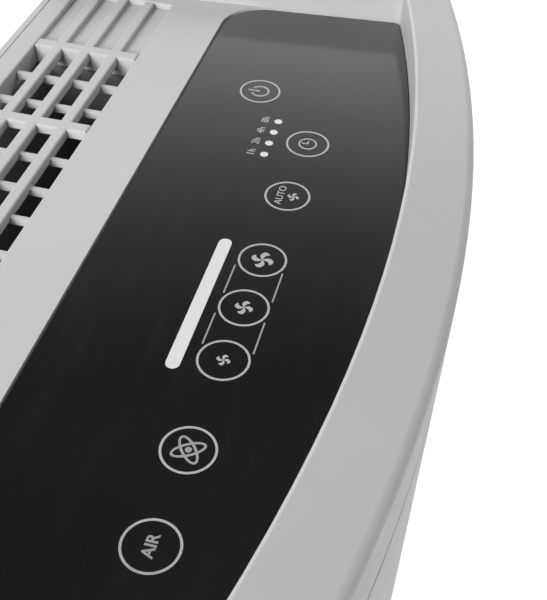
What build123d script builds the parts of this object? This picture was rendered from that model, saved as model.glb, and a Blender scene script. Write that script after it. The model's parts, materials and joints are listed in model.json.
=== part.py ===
from build123d import *
import os
from math import acos, cos, degrees, hypot, radians, sin, sqrt

os.makedirs("parts", exist_ok=True)

# A free-standing air purifier. Origin: middle of the footprint, on the floor.
# +Z up, -Y is the front (the pull-off cover), +X is the user's right. Millimetres.

# ---------------------------------------------------------------- driving dimensions
# Body seen from above
WIDTH = 380.0            # between the front corners, before they are rounded
DEPTH = 208.0
HEIGHT = 541.0
FRONT_BOW = 29.3         # the front bulges this far ahead of its corners
SIDE_LEAN = 16.6         # each side leans in this far from front to back
FRONT_CORNER = 12.0
BACK_CORNER = 26.0
WALL = 2.8               # moulded shells
SEAM = 1.6               # gap between neighbouring outer shells
SLIP = 0.4               # clearance of a part standing inside another
EDGE_BREAK = 0.6         # small chamfer along the shells' ends

# Top frame: raised rim round a recessed deck
RIM_WIDTH = 24.0         # outer edge to the wall of the recess
RIM_LAND = 1.2           # flat strip along the top of that wall
RIM_FALL = 9.0           # the rim's top slopes down by this much to its outer edge
RIM_SIDE = 34.2          # upright outer side of the rim, down to the seam
RIM_ROUND = 4.8          # along the rim's outer edge
RIM_EDGE_ROUND = 1.0     # along the top of the recess wall
RECESS_DEPTH = 16.2      # rim top to deck
RECESS_CORNER = 3.0
DECK = 6.2               # deck plate
DECK_POST = 4.0          # radius of the posts under the deck
PAD = 6.0                # pads in the housing that those posts stand on
PAD_DROP = 4.0           # pads, below the top of the housing

# Touch panel
GLASS = 3.0
GLASS_STEP = 0.8         # the deck stands proud of the glass
GLASS_GAP = 0.4
GLASS_BACK = 19.4        # y of the glass's straight back edge
GLASS_CORNER = 20.0
GLASS_LEDGE = 5.0
BUTTON_Y = -37.7
BUTTON_X = (-123.0, -91.0, -55.5, -32.0, -8.5, 27.5, 61.0)
POWER_BUTTON = (91.5, -10.6)
LIGHT_BAR = (62.0, 4.6)
LIGHT_BAR_CENTRE = (-32.2, -23.2)
BOARD = 1.6              # circuit boards
BOARD_DROP = 7.0         # underside of the glass to the touch board

# Outlet grille
GRILLE_FRONT = 46.3      # y of its front edge
GRILLE_GAP = 8.0         # clear width between two long bars
GRILLE_BAR = 4.5
GRILLE_BARS = 3
GRILLE_OPEN = 98.0       # half length of the open part
GRILLE_THICK = 8.6       # closed ends and brim
GRILLE_BAR_HIGH = 4.0
GRILLE_RIB = 2.0
GRILLE_RIB_DROP = 2.6
GRILLE_RIB_HIGH = 3.0
WINDOW_ROUND = 0.8       # along the deck's edge round the grille
GRILLE_BRIDGE = 5.6
GRILLE_BRIDGE_X = 45.6
GRILLE_CELL = 18.6
SHELF_DROP = 2.6         # ribbed shelf beyond the open part
SHELF_END = 3.0          # it stops this far from the recess wall
INSERT_GAP = 0.15

# Base
FOOT_HEIGHT = 4.0
FOOT_RADIUS = 11.0
FOOT_INSET = 34.0
FOOT_RECESS = 1.0        # depth of the feet in the tray
PLINTH_TOP = 14.0
PLINTH_INSET = 1.5
LOCATING_LIP = 8.0

# Front cover
COVER_DEPTH = 44.0       # front of the body to the front plane of the housing
COVER_BOTTOM = 24.0
HINGE_X = 58.0
HINGE_Z = 30.0
HINGE_BACK = 14.0        # hinge line behind the middle of the front
HINGE_PIN = 2.5
HINGE_EAR = 6.0          # thickness of an ear and of the gap beside it
RUNNING = 0.05           # radial clearance of a pin in its bore
MAGNET = 6.0
MAGNET_THICK = 3.0
BOSS_INSET = 34.0        # magnets, in from the front corners
BOSS_DROP = 26.0         # magnets, below the top of the cover
SWITCH_DROP = 16.0       # safety switch, below the top of the cover

# Filters
BAY_HALF = 150.0
BAY_BOTTOM = 38.0
BAY_TOP_GAP = 82.0       # top of the bay to the rim's top
BAY_WALL = 2.4
FILTER_GAP = 2.0
PREFILTER = 6.0
HEPA = 44.0
CARBON = 10.0
PLEAT_PITCH = 6.0
PLEAT_SHEET = 0.7
FRAME_EDGE = 10.0
TIP_ROOM = 4.0           # room above a filter for tipping it out

# Fan
FAN_Z = 206.0
FAN_RADIUS = 92.0
FAN_WIDTH = 56.0
FAN_EYE = 78.0
BLADES = 32
SCROLL_START = 106.0     # first of the scroll's four growing radii
SCROLL_STEP = 16.0
SCROLL_WIDTH = 74.0
SCROLL_RISE = 118.0      # fan axis to the scroll's mouth
SCROLL_WALL = 2.0
SCROLL_FLANGE = 9.0
TONGUE = 35.0            # angle of the scroll's tongue
BULKHEAD = 3.0
MOTOR_RADIUS = 42.0
MOTOR_LENGTH = 20.0
SHAFT = 4.0
BEARING = 8.0

# Side details
SLOT_COUNT = 30
SLOT_PITCH = 13.0
SLOT_HIGH = 5.0
SLOT_LONG = 24.0
HANDLE_WIDE = 84.0
HANDLE_HIGH = 30.0
HANDLE_DEEP = 28.0
HANDLE_Y = 47.0
HANDLE_DROP = 92.0       # rim top to the middle of the handle
HATCH_WIDE = 44.0
HATCH_HIGH = 62.0
HATCH_THICK = 2.4
HATCH_Y = 36.0
HATCH_Z = 368.0
HATCH_PIN = 0.7
HATCH_PIN_OUT = 6.0      # the pin's reach above and below the hatch
HATCH_GAP = 0.4
GLAND_BORE = 3.6
GLAND_RADIUS = 7.0
GLAND_X = 120.0
GLAND_Z = 44.0
SCREW = 1.6
SCREW_HEAD = 3.4

# ---------------------------------------------------------------- derived places
FRONT_Y = -DEPTH / 2
BACK_Y = DEPTH / 2
CORNER_Y = FRONT_Y + FRONT_BOW
FRONT_ARC = (WIDTH ** 2 / 4 + FRONT_BOW ** 2) / (2 * FRONT_BOW)
LEAN = SIDE_LEAN / (BACK_Y - CORNER_Y)
DECK_TOP = HEIGHT - RECESS_DEPTH
DECK_BOTTOM = DECK_TOP - DECK
GLASS_TOP = DECK_TOP - GLASS_STEP
GLASS_BOTTOM = GLASS_TOP - GLASS
BOARD_TOP = GLASS_BOTTOM - BOARD_DROP
RIM_EDGE = HEIGHT - RIM_FALL
RIM_BOTTOM = RIM_EDGE - RIM_SIDE
SHELL_TOP = RIM_BOTTOM - SEAM
GRILLE_DEPTH = GRILLE_BARS * GRILLE_BAR + (GRILLE_BARS + 1) * GRILLE_GAP
GRILLE_MIDDLE = GRILLE_FRONT + GRILLE_DEPTH / 2
GRILLE_BOTTOM = DECK_TOP - GRILLE_THICK
PAD_TOP = SHELL_TOP - PAD_DROP
HOUSING_FRONT = FRONT_Y + COVER_DEPTH
COVER_BACK = HOUSING_FRONT - SEAM
HINGE_Y = FRONT_Y + HINGE_BACK
FLANGE = 2.5
BAY_TOP = HEIGHT - BAY_TOP_GAP
FILTER_BOTTOM = BAY_BOTTOM + FILTER_GAP
FILTER_TOP = BAY_TOP - TIP_ROOM
FILTER_HEIGHT = FILTER_TOP - FILTER_BOTTOM
FILTER_MIDDLE = (FILTER_TOP + FILTER_BOTTOM) / 2
FILTER_HALF = BAY_HALF - FILTER_GAP
PREFILTER_FRONT = HOUSING_FRONT + FILTER_GAP
HEPA_FRONT = PREFILTER_FRONT + PREFILTER + FILTER_GAP
HEPA_BACK = HEPA_FRONT + HEPA
BULKHEAD_FRONT = HEPA_BACK + FILTER_GAP
BULKHEAD_BACK = BULKHEAD_FRONT + BULKHEAD
SCROLL_BACK = BULKHEAD_BACK + SCROLL_WIDTH
MOTOR_FRONT = SCROLL_BACK + SCROLL_WALL
MOUTH_Z = FAN_Z + SCROLL_RISE
FAN_FRONT = BULKHEAD_BACK + 8.0
FAN_BACK = FAN_FRONT + FAN_WIDTH


def side_x(y, inset=0.0):
    """Half width of the body at a depth y, drawn in by inset."""
    return WIDTH / 2 - inset * hypot(1, LEAN) - LEAN * (y - CORNER_Y)


def front_y(x, inset=0.0):
    """Depth of the bowed front at x, drawn in by inset."""
    return FRONT_Y + FRONT_ARC - sqrt((FRONT_ARC - inset) ** 2 - x ** 2)


def corner_point(inset):
    """Where the bowed front meets the right side, both drawn in by inset."""
    radius = FRONT_ARC - inset
    centre = FRONT_Y + FRONT_ARC
    start = side_x(0, inset)
    a = 1 + LEAN ** 2
    b = -2 * (LEAN * start + centre)
    c = start ** 2 + centre ** 2 - radius ** 2
    y = (-b - sqrt(b * b - 4 * a * c)) / (2 * a)
    return side_x(y, inset), y


def body_outline(inset, front_corner=None, back_corner=None):
    """The body's plan drawn in by inset, as a face in the sketch that is open."""
    x, y = corner_point(inset)
    back = BACK_Y - inset
    back_x = side_x(back, inset)
    with BuildLine() as edge:
        ThreePointArc((-x, y), (0, FRONT_Y + inset), (x, y))
        Polyline((x, y), (back_x, back), (-back_x, back), (-x, y))
    make_face(edge.edges())
    corners = vertices().group_by(Axis.Y)
    fillet(corners[-1], back_corner or max(BACK_CORNER - inset, 2.0))
    corners = vertices().filter_by(lambda v: v.Y < y + 0.01)
    fillet(corners, front_corner or max(FRONT_CORNER - inset, 1.5))


def keep_behind(y):
    """Trims the open sketch to what lies behind y."""
    with Locations((0, y - DEPTH)):
        Rectangle(2 * WIDTH, 2 * DEPTH, mode=Mode.SUBTRACT)


def keep_ahead(y):
    """Trims the open sketch to what lies ahead of y."""
    with Locations((0, y + DEPTH)):
        Rectangle(2 * WIDTH, 2 * DEPTH, mode=Mode.SUBTRACT)


def glass_outline(gap, ledge=0.0):
    """The touch panel's plan: it follows the recess wall, with a straight back edge."""
    back = GLASS_BACK - ledge + (GLASS_GAP - gap)
    body_outline(RIM_WIDTH + gap + ledge, RECESS_CORNER, RECESS_CORNER)
    keep_ahead(back)
    corners = vertices().group_by(Axis.Y)[-1]
    fillet(corners, GLASS_CORNER - ledge)


def upright(y):
    """A plane facing the front at depth y: local x is X, local y is Z."""
    return Plane(origin=(0, y, 0), x_dir=(1, 0, 0), z_dir=(0, -1, 0))


def save(part, name):
    """Labels a finished piece and writes it."""
    part.part.label = name
    export_step(part.part, "parts/" + name + ".step")


def screws(points, length, head_at, direction):
    """Pan head screws in the open part: heads under head_at, shanks along direction."""
    for x, y in points:
        axis = Plane(origin=(x, y, head_at), z_dir=(0, 0, direction))
        with BuildSketch(axis) as shank:
            Circle(SCREW)
        extrude(shank.sketch, amount=length)
        with BuildSketch(axis) as head:
            Circle(SCREW_HEAD)
        extrude(head.sketch, amount=-SCREW_HEAD / 2)


# ---------------------------------------------------------------- base and feet
FOOT_X = side_x(BACK_Y) - FOOT_INSET
FOOT_POINTS = [(sx * FOOT_X, y) for sx in (-1, 1) for y in (CORNER_Y + 24, BACK_Y - FOOT_INSET)]
BASE_SCREW_POINTS = [(sx * (side_x(BACK_Y) - 46), y) for sx in (-1, 1) for y in (-20.0, BACK_Y - 16)]

with BuildPart() as rubber_feet:
    with BuildSketch():
        with Locations(*FOOT_POINTS):
            Circle(FOOT_RADIUS)
    extrude(amount=FOOT_HEIGHT + FOOT_RECESS)
    chamfer(faces().sort_by(Axis.Z)[:4].edges(), 1.0)
save(rubber_feet, "rubber_feet")

with BuildPart() as base_tray:
    with BuildSketch(Plane.XY.offset(FOOT_HEIGHT)):
        body_outline(PLINTH_INSET)
    extrude(amount=PLINTH_TOP - FOOT_HEIGHT)
    with BuildSketch(Plane.XY.offset(FOOT_HEIGHT + WALL)):
        body_outline(PLINTH_INSET + WALL)
    extrude(amount=PLINTH_TOP, mode=Mode.SUBTRACT)
    chamfer(faces().sort_by(Axis.Z)[0].edges(), 1.2)
    # lip that stands inside the housing
    with BuildSketch(Plane.XY.offset(FOOT_HEIGHT + WALL)):
        body_outline(WALL + SLIP)
        keep_behind(HOUSING_FRONT + FLANGE + 1)
    extrude(amount=PLINTH_TOP - FOOT_HEIGHT - WALL + LOCATING_LIP)
    with BuildSketch(Plane.XY.offset(FOOT_HEIGHT + WALL)):
        body_outline(2 * WALL + SLIP)
        keep_behind(HOUSING_FRONT + FLANGE)
    extrude(amount=PLINTH_TOP + LOCATING_LIP, mode=Mode.SUBTRACT)
    # lugs for the cover's hinge pins
    for side in (-1, 1):
        with BuildSketch(Plane.YZ.offset(side * HINGE_X - HINGE_EAR / 2)):
            with Locations((HINGE_Y, (HINGE_Z + FOOT_HEIGHT + WALL) / 2)):
                Rectangle(2 * HINGE_PIN + 1.6, HINGE_Z - FOOT_HEIGHT - WALL)
            with Locations((HINGE_Y, HINGE_Z)):
                Circle(2 * HINGE_PIN)
                Circle(HINGE_PIN, mode=Mode.SUBTRACT)
        extrude(amount=HINGE_EAR)
    with BuildSketch(Plane.XY.offset(FOOT_HEIGHT)):
        with Locations(*BASE_SCREW_POINTS):
            Circle(SCREW_HEAD + 2)
    extrude(amount=WALL + 6)
    with BuildSketch(Plane.XY.offset(FOOT_HEIGHT)):
        with Locations(*BASE_SCREW_POINTS):
            Circle(SCREW_HEAD + 0.4)
    extrude(amount=WALL, mode=Mode.SUBTRACT)
    with BuildSketch(Plane.XY.offset(FOOT_HEIGHT)):
        with Locations(*BASE_SCREW_POINTS):
            Circle(SCREW + RUNNING)
    extrude(amount=WALL + 6, mode=Mode.SUBTRACT)
    with BuildSketch(Plane.XY.offset(FOOT_HEIGHT)):
        with Locations(*FOOT_POINTS):
            Circle(FOOT_RADIUS)
    extrude(amount=FOOT_RECESS, mode=Mode.SUBTRACT)
save(base_tray, "base_tray")

with BuildPart() as base_screws:
    screws(BASE_SCREW_POINTS, WALL + 10, FOOT_HEIGHT + WALL, 1)
save(base_screws, "base_screws")

with BuildPart() as hinge_pins:
    for side in (-1, 1):
        with BuildSketch(Plane.YZ.offset(side * HINGE_X - 1.5 * HINGE_EAR - 2)):
            with Locations((HINGE_Y, HINGE_Z)):
                Circle(HINGE_PIN)
        extrude(amount=3 * HINGE_EAR + 4)
save(hinge_pins, "cover_hinge_pins")

# ---------------------------------------------------------------- front cover
BOSS_X = side_x(CORNER_Y) - BOSS_INSET
BOSS_Z = SHELL_TOP - BOSS_DROP
STRIKE = 1.5
MAGNET_BACK = HOUSING_FRONT - STRIKE - 0.4
SWITCH_Z = SHELL_TOP - SWITCH_DROP
PLUNGER = 2.0
PLUNGER_OUT = 4.0

with BuildPart() as front_cover:
    with BuildSketch(Plane.XY.offset(COVER_BOTTOM)):
        body_outline(0)
        keep_ahead(COVER_BACK)
    extrude(amount=SHELL_TOP - COVER_BOTTOM)
    ends = faces().filter_by(Axis.Z)
    chamfer(ends.edges().filter_by(lambda e: e.center().Y < COVER_BACK - 1), EDGE_BREAK)
    with BuildSketch(Plane.XY.offset(COVER_BOTTOM)):
        body_outline(WALL)
        keep_ahead(COVER_BACK + 1)
    extrude(amount=SHELL_TOP - COVER_BOTTOM, mode=Mode.SUBTRACT)
    # stiffening shelves across the inside
    for level in range(1, 5):
        z = COVER_BOTTOM + level * (SHELL_TOP - COVER_BOTTOM) / 5
        with BuildSketch(Plane.XY.offset(z)):
            body_outline(WALL - 0.5)
            keep_ahead(FRONT_Y + WALL + 5)
        extrude(amount=1.6)
    # hinge ears on both sides of each lug
    for side in (-1, 1):
        for place in (-1, 1):
            x = side * HINGE_X + place * HINGE_EAR - HINGE_EAR / 2 + place * 0.3
            with BuildSketch(Plane.YZ.offset(x)):
                with Locations((HINGE_Y, HINGE_Z)):
                    Circle(2 * HINGE_PIN)
                with Locations((FRONT_Y + (HINGE_BACK + WALL) / 2, HINGE_Z + 3)):
                    Rectangle(HINGE_BACK - WALL + 0.6, 2 * HINGE_PIN + 1)
                with Locations((HINGE_Y, HINGE_Z)):
                    Circle(HINGE_PIN + RUNNING, mode=Mode.SUBTRACT)
            extrude(amount=HINGE_EAR - 1)
    # bosses for the magnets, and the post that works the safety switch
    for x in (-BOSS_X, BOSS_X):
        with BuildSketch(upright(MAGNET_BACK)):
            with Locations((x, BOSS_Z)):
                Circle(MAGNET + 2)
        extrude(amount=MAGNET_BACK - front_y(BOSS_X + MAGNET + 2, WALL) + 4)
    with BuildSketch(upright(HOUSING_FRONT - PLUNGER_OUT - 0.3)):
        with Locations((0, SWITCH_Z)):
            Rectangle(8, 14)
    extrude(amount=COVER_DEPTH - PLUNGER_OUT - WALL)
    for x in (-BOSS_X, BOSS_X):
        with BuildSketch(upright(MAGNET_BACK)):
            with Locations((x, BOSS_Z)):
                Circle(MAGNET)
        extrude(amount=MAGNET_THICK, mode=Mode.SUBTRACT)
save(front_cover, "front_cover")

with BuildPart() as cover_magnets:
    with BuildSketch(upright(MAGNET_BACK)):
        with Locations((-BOSS_X, BOSS_Z), (BOSS_X, BOSS_Z)):
            Circle(MAGNET)
    extrude(amount=MAGNET_THICK)
save(cover_magnets, "cover_magnets")

with BuildPart() as magnet_strikes:
    with BuildSketch(upright(HOUSING_FRONT)):
        with Locations((-BOSS_X, BOSS_Z), (BOSS_X, BOSS_Z)):
            Circle(MAGNET + 2)
    extrude(amount=STRIKE)
save(magnet_strikes, "magnet_strikes")

# ---------------------------------------------------------------- rear housing
HANDLE_Z = HEIGHT - HANDLE_DROP
HANDLE_INNER = side_x(HANDLE_Y + HANDLE_WIDE / 2) - HANDLE_DEEP
POCKET = 2.0
WALL_NORMAL = Vector(1, LEAN, 0).normalized()
HATCH_CENTRE = Vector(side_x(HATCH_Y), HATCH_Y, HATCH_Z)
HATCH_PLANE = Plane(HATCH_CENTRE, x_dir=Vector(-LEAN, 1, 0).normalized(), z_dir=WALL_NORMAL)
HATCH_AXIS = HATCH_WIDE / 2 - HATCH_THICK / 2
SLOT_Y = HOUSING_FRONT + 12 + SLOT_LONG / 2
SLOT_Z = (COVER_BOTTOM + HANDLE_Z) / 2

DECK_POSTS = [(sx * side_x(y, WALL + PAD + 1.5), y) for sx in (-1, 1) for y in (-36.0, BACK_Y - 36)]

with BuildPart() as rear_housing:
    with BuildSketch(Plane.XY.offset(PLINTH_TOP)):
        body_outline(0)
        keep_behind(HOUSING_FRONT)
    extrude(amount=SHELL_TOP - PLINTH_TOP)
    ends = faces().filter_by(Axis.Z)
    chamfer(ends.edges().filter_by(lambda e: e.center().Y > HOUSING_FRONT + 1), EDGE_BREAK)
    with BuildSketch(Plane.XY.offset(PLINTH_TOP)):
        body_outline(WALL)
        keep_behind(HOUSING_FRONT - 1)
    extrude(amount=SHELL_TOP - PLINTH_TOP, mode=Mode.SUBTRACT)
    # carrying pockets in both sides
    with BuildSketch(Plane.XY.offset(HANDLE_Z - HANDLE_HIGH / 2 - POCKET)):
        body_outline(0.4)
        with Locations((0, HANDLE_Y)):
            Rectangle(2 * WIDTH, HANDLE_WIDE + 2 * POCKET, mode=Mode.INTERSECT)
        Rectangle(2 * (HANDLE_INNER - POCKET), 2 * DEPTH, mode=Mode.SUBTRACT)
    extrude(amount=HANDLE_HIGH + 2 * POCKET)
    for side in (-1, 1):
        with BuildSketch(Plane.YZ.offset(side * HANDLE_INNER)):
            with Locations((HANDLE_Y, HANDLE_Z)):
                RectangleRounded(HANDLE_WIDE, HANDLE_HIGH, 10)
        extrude(amount=side * WIDTH / 2, mode=Mode.SUBTRACT)
    # intake slots near the front edge of both sides
    with BuildSketch(Plane.YZ.offset(-WIDTH / 2)):
        with Locations((SLOT_Y, SLOT_Z)):
            with GridLocations(0, SLOT_PITCH, 1, SLOT_COUNT):
                SlotOverall(SLOT_LONG, SLOT_HIGH)
    extrude(amount=WIDTH, mode=Mode.SUBTRACT)
    # pads that the top frame is screwed to
    with BuildSketch(Plane.XY.offset(PAD_TOP - PAD)):
        with Locations(*DECK_POSTS):
            Rectangle(2 * PAD + 4, 2 * PAD)
        with Locations(*DECK_POSTS):
            Circle(SCREW + RUNNING, mode=Mode.SUBTRACT)
    extrude(amount=PAD)
    # window for the sensor hatch, with holes for its pin above and below
    with BuildSketch(HATCH_PLANE):
        Rectangle(HATCH_WIDE + 2 * HATCH_GAP, HATCH_HIGH + 2 * HATCH_GAP)
    extrude(amount=-2 * WALL, mode=Mode.SUBTRACT)
    pin_line = HATCH_PLANE.from_local_coords((HATCH_AXIS, 0, -HATCH_THICK / 2))
    with BuildSketch(Plane.XY.offset(HATCH_Z - HATCH_HIGH / 2 - HATCH_PIN_OUT)):
        with Locations((pin_line.X, pin_line.Y)):
            Circle(HATCH_PIN)
    extrude(amount=HATCH_HIGH + 2 * HATCH_PIN_OUT, mode=Mode.SUBTRACT)
    # hole for the mains lead
    with BuildSketch(upright(BACK_Y)):
        with Locations((GLAND_X, GLAND_Z)):
            Circle(GLAND_RADIUS)
    extrude(amount=2 * WALL, mode=Mode.SUBTRACT)
save(rear_housing, "rear_housing")

with BuildPart() as cord_gland:
    with BuildSketch(upright(BACK_Y - WALL)):
        with Locations((GLAND_X, GLAND_Z)):
            Circle(GLAND_RADIUS)
    extrude(amount=-WALL)
    with BuildSketch(upright(BACK_Y - 2 * WALL)):
        with Locations((GLAND_X, GLAND_Z)):
            Circle(GLAND_RADIUS + 4)
    extrude(amount=-WALL)
    with BuildSketch(upright(BACK_Y - 2 * WALL)):
        with Locations((GLAND_X, GLAND_Z)):
            Circle(GLAND_BORE)
    extrude(amount=-2 * WALL, mode=Mode.SUBTRACT)
save(cord_gland, "cord_gland")

with BuildPart() as sensor_hatch:
    with BuildSketch(HATCH_PLANE):
        with Locations((-HATCH_THICK / 4, 0)):
            Rectangle(HATCH_WIDE - HATCH_THICK / 2, HATCH_HIGH)
    extrude(amount=-HATCH_THICK)
    with BuildSketch(Plane.XY.offset(HATCH_Z - HATCH_HIGH / 2)):
        with Locations((pin_line.X, pin_line.Y)):
            Circle(HATCH_THICK / 2)
    extrude(amount=HATCH_HIGH)
    with BuildSketch(HATCH_PLANE):
        with Locations((-4, 0)):
            with GridLocations(0, 7, 1, 6):
                SlotOverall(HATCH_WIDE - 18, 3)
    extrude(amount=-2 * HATCH_THICK, mode=Mode.SUBTRACT)
    with BuildSketch(Plane.XY.offset(HATCH_Z - HATCH_HIGH / 2)):
        with Locations((pin_line.X, pin_line.Y)):
            Circle(HATCH_PIN + RUNNING)
    extrude(amount=HATCH_HIGH, mode=Mode.SUBTRACT)
save(sensor_hatch, "sensor_hatch")

with BuildPart() as hatch_pin:
    with BuildSketch(Plane.XY.offset(HATCH_Z - HATCH_HIGH / 2 - 5)):
        with Locations((pin_line.X, pin_line.Y)):
            Circle(HATCH_PIN)
    extrude(amount=HATCH_HIGH + 10)
save(hatch_pin, "hatch_pin")

with BuildPart() as dust_sensor:
    with BuildSketch(HATCH_PLANE.offset(-2 * WALL)):
        Rectangle(HATCH_WIDE - 6, HATCH_HIGH - 16)
    extrude(amount=-14)
    fillet(edges().filter_by(Axis.Z), 2)
    with BuildSketch(HATCH_PLANE.offset(-2 * WALL)):
        Circle(6)
    extrude(amount=-6, mode=Mode.SUBTRACT)
save(dust_sensor, "dust_sensor")

# ---------------------------------------------------------------- filter housing and bulkhead
FLANGE_HALF = side_x(HOUSING_FRONT + FLANGE, WALL) - 0.4
FLANGE_BOTTOM = PLINTH_TOP + 3.0
FLANGE_TOP = BOARD_TOP - BOARD - 2.5
FLANGE_MIDDLE = (FLANGE_TOP + FLANGE_BOTTOM) / 2
BAY_HEIGHT = BAY_TOP - BAY_BOTTOM
BAY_MIDDLE = (BAY_TOP + BAY_BOTTOM) / 2
VENT_INNER = BAY_HALF + BAY_WALL + 3
VENT_OUTER = FLANGE_HALF - 3
VENTS = 4

with BuildPart() as filter_housing:
    with BuildSketch(upright(HOUSING_FRONT + FLANGE)):
        with Locations((0, FLANGE_MIDDLE)):
            Rectangle(2 * FLANGE_HALF, FLANGE_TOP - FLANGE_BOTTOM)
    extrude(amount=FLANGE)
    with BuildSketch(upright(HOUSING_FRONT)):
        with Locations((0, BAY_MIDDLE)):
            Rectangle(2 * (BAY_HALF + BAY_WALL), BAY_HEIGHT + 2 * BAY_WALL)
    extrude(amount=HOUSING_FRONT - BULKHEAD_BACK)
    with BuildSketch(upright(HOUSING_FRONT)):
        with Locations((0, BAY_MIDDLE)):
            Rectangle(2 * BAY_HALF, BAY_HEIGHT)
    extrude(amount=HOUSING_FRONT - BULKHEAD_FRONT, mode=Mode.SUBTRACT)
    # air comes forward through windows beside the bay
    with BuildSketch(upright(HOUSING_FRONT)):
        for side in (-1, 1):
            with Locations((side * (VENT_INNER + VENT_OUTER) / 2, BAY_MIDDLE)):
                with GridLocations(0, BAY_HEIGHT / VENTS, 1, VENTS):
                    Rectangle(VENT_OUTER - VENT_INNER, BAY_HEIGHT / VENTS - 6)
    extrude(amount=-FLANGE, mode=Mode.SUBTRACT)
    with BuildSketch(upright(BULKHEAD_FRONT)):
        with Locations((0, FAN_Z)):
            Circle(FAN_EYE)
    extrude(amount=-BULKHEAD, mode=Mode.SUBTRACT)
    with BuildSketch(upright(HOUSING_FRONT)):
        with Locations((0, SWITCH_Z)):
            Circle(PLUNGER + RUNNING)
    extrude(amount=-FLANGE, mode=Mode.SUBTRACT)
save(filter_housing, "filter_housing")

with BuildPart() as inlet_guard:
    with BuildSketch(upright(BULKHEAD_BACK + 4)):
        with Locations((0, FAN_Z)):
            Circle(FAN_EYE - 0.1)
            Circle(FAN_EYE - 4, mode=Mode.SUBTRACT)
    extrude(amount=BULKHEAD + 4)
    with BuildSketch(upright(BULKHEAD_FRONT + 2)):
        with Locations((0, FAN_Z)):
            for ring in range(1, 6):
                Circle(ring * 12.5 + 1.2)
                Circle(ring * 12.5 - 1.2, mode=Mode.SUBTRACT)
            Circle(7)
            with PolarLocations(FAN_EYE / 2, 8):
                Rectangle(FAN_EYE - 4, 2.4)
    extrude(amount=2)
save(inlet_guard, "inlet_guard")

# ---------------------------------------------------------------- fan and scroll
SPIRAL = (-SCROLL_STEP / 2, FAN_Z + SCROLL_STEP / 2)
SCROLL_SIDE = SPIRAL[0] + SCROLL_START + 4 * SCROLL_STEP
TONGUE_X = SPIRAL[0] + SCROLL_START * cos(radians(TONGUE))


def scroll_outline(out):
    """The scroll's profile drawn outward by out: four quarter arcs, then straight up to its mouth."""
    start = degrees(acos((SCROLL_START * cos(radians(TONGUE)) - out) / (SCROLL_START + out)))
    x, z = SPIRAL
    shifts = [(0, -SCROLL_STEP), (SCROLL_STEP, 0), (0, SCROLL_STEP)]
    with BuildLine() as edge:
        first = CenterArc((x, z), SCROLL_START + out, start, 90 - start)
        for turn in range(1, 4):
            x = x + shifts[turn - 1][0]
            z = z + shifts[turn - 1][1]
            last = CenterArc((x, z), SCROLL_START + turn * SCROLL_STEP + out, 90 * turn, 90)
        corner = (first @ 0).X
        side = (last @ 1).X
        Polyline(last @ 1, (side, MOUTH_Z), (corner, MOUTH_Z), first @ 0)
    make_face(edge.edges())


with BuildPart() as scroll_housing:
    with BuildSketch(upright(MOTOR_FRONT)):
        scroll_outline(SCROLL_WALL)
    extrude(amount=SCROLL_WIDTH + SCROLL_WALL)
    with BuildSketch(upright(BULKHEAD_BACK + 2)):
        scroll_outline(SCROLL_FLANGE)
    extrude(amount=2)
    with BuildSketch(upright(SCROLL_BACK)):
        scroll_outline(0)
    extrude(amount=SCROLL_WIDTH, mode=Mode.SUBTRACT)
    with BuildSketch(upright(MOTOR_FRONT)):
        with Locations((0, FAN_Z)):
            Circle(BEARING + 3)
    extrude(amount=2 * SCROLL_WALL, mode=Mode.SUBTRACT)
save(scroll_housing, "scroll_housing")

HUB = 14.0
BACKPLATE = 2.0

BLADE_MIDDLE = (FAN_EYE + FAN_RADIUS) / 2

with BuildSketch() as blade:
    with BuildLine():
        ThreePointArc((FAN_EYE + 1, 0), (BLADE_MIDDLE, 0.8), (FAN_RADIUS - 0.5, 6))
        ThreePointArc((FAN_EYE + 1, 0), (BLADE_MIDDLE, 2.8), (FAN_RADIUS - 0.5, 6))
    make_face()

with BuildPart() as impeller:
    with BuildSketch(upright(FAN_BACK)):
        with Locations((0, FAN_Z)):
            Circle(FAN_RADIUS)
    extrude(amount=BACKPLATE)
    with BuildSketch(upright(FAN_BACK)):
        with Locations((0, FAN_Z)):
            Circle(HUB)
    extrude(amount=FAN_WIDTH / 2)
    with BuildSketch(upright(FAN_FRONT + 4)):
        with Locations((0, FAN_Z)):
            Circle(FAN_RADIUS)
            Circle(FAN_EYE, mode=Mode.SUBTRACT)
    extrude(amount=4)
    # forward-curved blades
    with BuildSketch(upright(FAN_BACK - BACKPLATE)):
        with Locations((0, FAN_Z)):
            with PolarLocations(0, BLADES):
                add(blade.sketch)
    extrude(amount=FAN_WIDTH - BACKPLATE - 4)
    with BuildSketch(upright(FAN_BACK)):
        with Locations((0, FAN_Z)):
            Circle(SHAFT)
    extrude(amount=FAN_WIDTH, mode=Mode.SUBTRACT)
save(impeller, "impeller")

with BuildPart() as motor_shaft:
    with BuildSketch(upright(MOTOR_FRONT + MOTOR_LENGTH - 3)):
        with Locations((0, FAN_Z)):
            Circle(SHAFT)
    extrude(amount=MOTOR_FRONT + MOTOR_LENGTH - 3 - FAN_BACK + FAN_WIDTH / 2 + 6)
save(motor_shaft, "motor_shaft")

with BuildPart() as impeller_nut:
    with BuildSketch(upright(FAN_BACK - FAN_WIDTH / 2)):
        with Locations((0, FAN_Z)):
            RegularPolygon(7.5, 6)
            Circle(SHAFT, mode=Mode.SUBTRACT)
    extrude(amount=5)
save(impeller_nut, "impeller_nut")

MOTOR_BACK = MOTOR_FRONT + MOTOR_LENGTH
LEG_ANGLES = (30, 150, 270)
LEG_REACH = MOTOR_RADIUS + 14.0

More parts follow.
